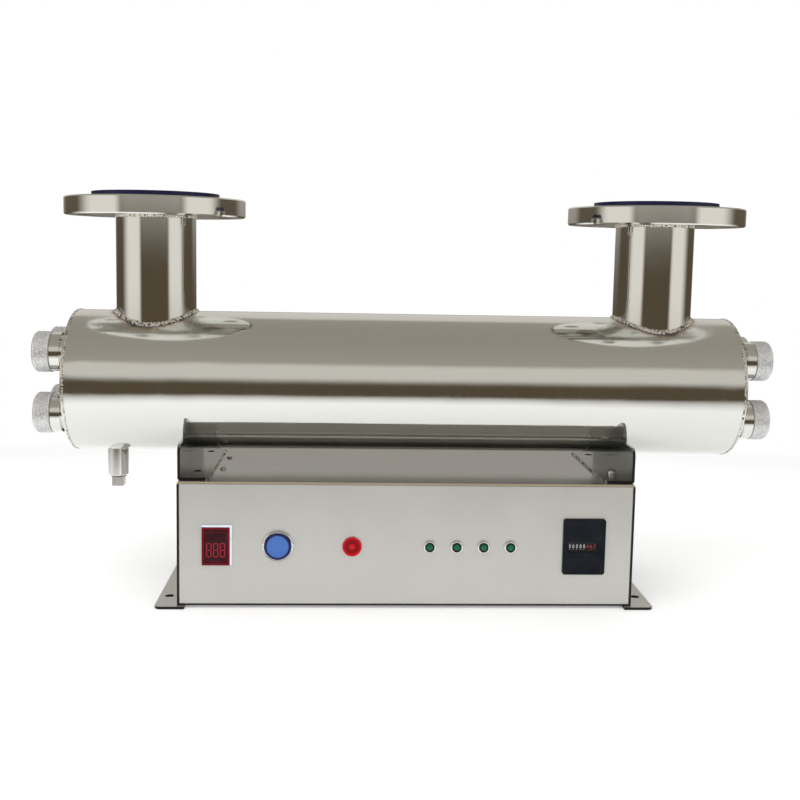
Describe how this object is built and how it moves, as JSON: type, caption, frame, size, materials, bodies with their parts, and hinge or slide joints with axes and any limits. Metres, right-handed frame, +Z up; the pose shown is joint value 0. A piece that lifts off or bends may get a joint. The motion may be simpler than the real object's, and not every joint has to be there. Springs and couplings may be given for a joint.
{
  "type": "uv clarifier",
  "caption": "Stainless UV pond clarifier: a tubular lamp chamber with flanged ports on saddle brackets over a control box with voltmeter, button, lamps and hour counter.",
  "frame": {"origin": "on the ground, straight below the middle of the chamber", "axes": "+X along the chamber towards the end away from the drain, -Y out of the control panel, +Z up"},
  "size_m": [0.826, 0.206, 0.4495],
  "materials": {
    "polished_steel": "mirror-polished stainless steel",
    "satin_steel": "satin stainless sheet",
    "fastener_steel": "plain turned steel",
    "bright_bezel": "bright plated metal",
    "knurled_steel": "finely knurled, matte stainless steel",
    "cover_disc": "smooth dark navy protective disc",
    "quartz": "clear quartz",
    "ceramic": "white unglazed",
    "rubber": "black moulded rubber",
    "black_plastic": "black moulded plastic",
    "navy_plastic": "dark blue moulded ring",
    "blue_plastic": "blue moulded cap",
    "red_lens": "red translucent lens",
    "green_lens": "dark green translucent lens, unlit",
    "clear_window": "clear acrylic",
    "dark_red_window": "dark red tinted acrylic",
    "counter_wheel": "black wheel with white numerals",
    "counter_wheel_red": "wheel with red numerals",
    "ballast_case": "plain pressed case"
  },
  "bodies": {
    "housing": {"back_panel": "satin_steel", "ballasts": "ballast_case", "box_base": "satin_steel", "box_cover": "satin_steel", "button_bezel": "bright_bezel", "button_ring": "navy_plastic", "button_spring": "fastener_steel", "button_switch": "black_plastic", "cable_grommets": "rubber", "chamber_tube": "polished_steel", "counter_axle": "fastener_steel", "counter_case": "black_plastic", "counter_window": "clear_window", "drain_socket": "polished_steel", "earth_bolt": "fastener_steel", "end_plate_left": "polished_steel", "end_plate_right": "polished_steel", "foot_left": "polished_steel", "foot_right": "polished_steel", "front_panel": "satin_steel", "gland_sockets_left": "polished_steel", "gland_sockets_right": "polished_steel", "indicator_bezel": "red_lens", "indicator_lens": "red_lens", "lamp_bases": "ceramic", "lead_grommets": "rubber", "lid_screws": "fastener_steel", "port_flange_left": "polished_steel", "port_flange_right": "polished_steel", "port_neck_left": "polished_steel", "port_neck_right": "polished_steel", "quartz_sleeves": "quartz", "saddle_bracket_left": "polished_steel", "saddle_bracket_right": "polished_steel", "sleeve_o_rings": "rubber", "sleeve_washers": "fastener_steel", "status_lamp_bezels": "bright_bezel", "status_lamp_lenses": "green_lens", "terminal_block": "black_plastic", "uv_lamps": "quartz", "voltmeter_case": "dark_red_window", "voltmeter_window": "dark_red_window"},
    "nut_left_1": {"lamp_nut_left_1": "knurled_steel"},
    "nut_left_2": {"lamp_nut_left_2": "knurled_steel"},
    "nut_left_3": {"lamp_nut_left_3": "knurled_steel"},
    "nut_left_4": {"lamp_nut_left_4": "knurled_steel"},
    "nut_right_1": {"lamp_nut_right_1": "knurled_steel"},
    "nut_right_2": {"lamp_nut_right_2": "knurled_steel"},
    "nut_right_3": {"lamp_nut_right_3": "knurled_steel"},
    "nut_right_4": {"lamp_nut_right_4": "knurled_steel"},
    "plug": {"drain_plug": "fastener_steel", "drain_seal": "rubber"},
    "cover_left": {"flange_cover_left": "cover_disc"},
    "cover_right": {"flange_cover_right": "cover_disc"},
    "button": {"button_cap": "blue_plastic"},
    "wheels_whole_hours": {"counter_wheels_white": "counter_wheel"},
    "wheel_tenths": {"counter_wheel_red_1": "counter_wheel_red"},
    "wheel_hundredths": {"counter_wheel_red_2": "counter_wheel_red"},
    "wheel_thousandths": {"counter_wheel_red_3": "counter_wheel_red"}
  },
  "joints": [
    {"name": "nut_left_1_turn", "type": "hinge", "parent": "housing", "child": "nut_left_1", "pos_m": [-0.405, -0.034, 0.271], "axis": [-1, 0, 0], "continuous": true},
    {"name": "nut_left_2_turn", "type": "hinge", "parent": "housing", "child": "nut_left_2", "pos_m": [-0.405, 0.034, 0.271], "axis": [-1, 0, 0], "continuous": true},
    {"name": "nut_left_3_turn", "type": "hinge", "parent": "housing", "child": "nut_left_3", "pos_m": [-0.405, -0.034, 0.203], "axis": [-1, 0, 0], "continuous": true},
    {"name": "nut_left_4_turn", "type": "hinge", "parent": "housing", "child": "nut_left_4", "pos_m": [-0.405, 0.034, 0.203], "axis": [-1, 0, 0], "continuous": true},
    {"name": "nut_right_1_turn", "type": "hinge", "parent": "housing", "child": "nut_right_1", "pos_m": [0.405, -0.034, 0.271], "axis": [1, 0, 0], "continuous": true},
    {"name": "nut_right_2_turn", "type": "hinge", "parent": "housing", "child": "nut_right_2", "pos_m": [0.405, 0.034, 0.271], "axis": [1, 0, 0], "continuous": true},
    {"name": "nut_right_3_turn", "type": "hinge", "parent": "housing", "child": "nut_right_3", "pos_m": [0.405, -0.034, 0.203], "axis": [1, 0, 0], "continuous": true},
    {"name": "nut_right_4_turn", "type": "hinge", "parent": "housing", "child": "nut_right_4", "pos_m": [0.405, 0.034, 0.203], "axis": [1, 0, 0], "continuous": true},
    {"name": "plug_turn", "type": "hinge", "parent": "housing", "child": "plug", "pos_m": [-0.331, 0, 0.119], "axis": [0, 0, -1], "continuous": true},
    {"name": "cover_left_lift", "type": "slide", "parent": "housing", "child": "cover_left", "axis": [0, 0, 1], "range_m": [0, 0.12]},
    {"name": "cover_right_lift", "type": "slide", "parent": "housing", "child": "cover_right", "axis": [0, 0, 1], "range_m": [0, 0.12]},
    {"name": "button_press", "type": "slide", "parent": "housing", "child": "button", "axis": [0, 1, 0], "range_m": [0, 0.004], "stiffness_N_per_m": 800, "springref_m": -0.002, "deforming": ["button_spring"]},
    {"name": "whole_hours_turn", "type": "hinge", "parent": "housing", "child": "wheels_whole_hours", "pos_m": [0.1847, -0.0879, 0.0701], "axis": [1, 0, 0], "continuous": true},
    {"name": "tenths_turn", "type": "hinge", "parent": "housing", "child": "wheel_tenths", "pos_m": [0.19855, -0.0879, 0.0701], "axis": [1, 0, 0], "continuous": true},
    {"name": "hundredths_turn", "type": "hinge", "parent": "housing", "child": "wheel_hundredths", "pos_m": [0.2025, -0.0879, 0.0701], "axis": [1, 0, 0], "continuous": true},
    {"name": "thousandths_turn", "type": "hinge", "parent": "housing", "child": "wheel_thousandths", "pos_m": [0.20645, -0.0879, 0.0701], "axis": [1, 0, 0], "continuous": true}
  ],
  "couplings": [
    {"joint": "hundredths_turn", "follows": "thousandths_turn", "ratio": 0.1},
    {"joint": "tenths_turn", "follows": "thousandths_turn", "ratio": 0.01},
    {"joint": "whole_hours_turn", "follows": "thousandths_turn", "ratio": 0.001}
  ]
}
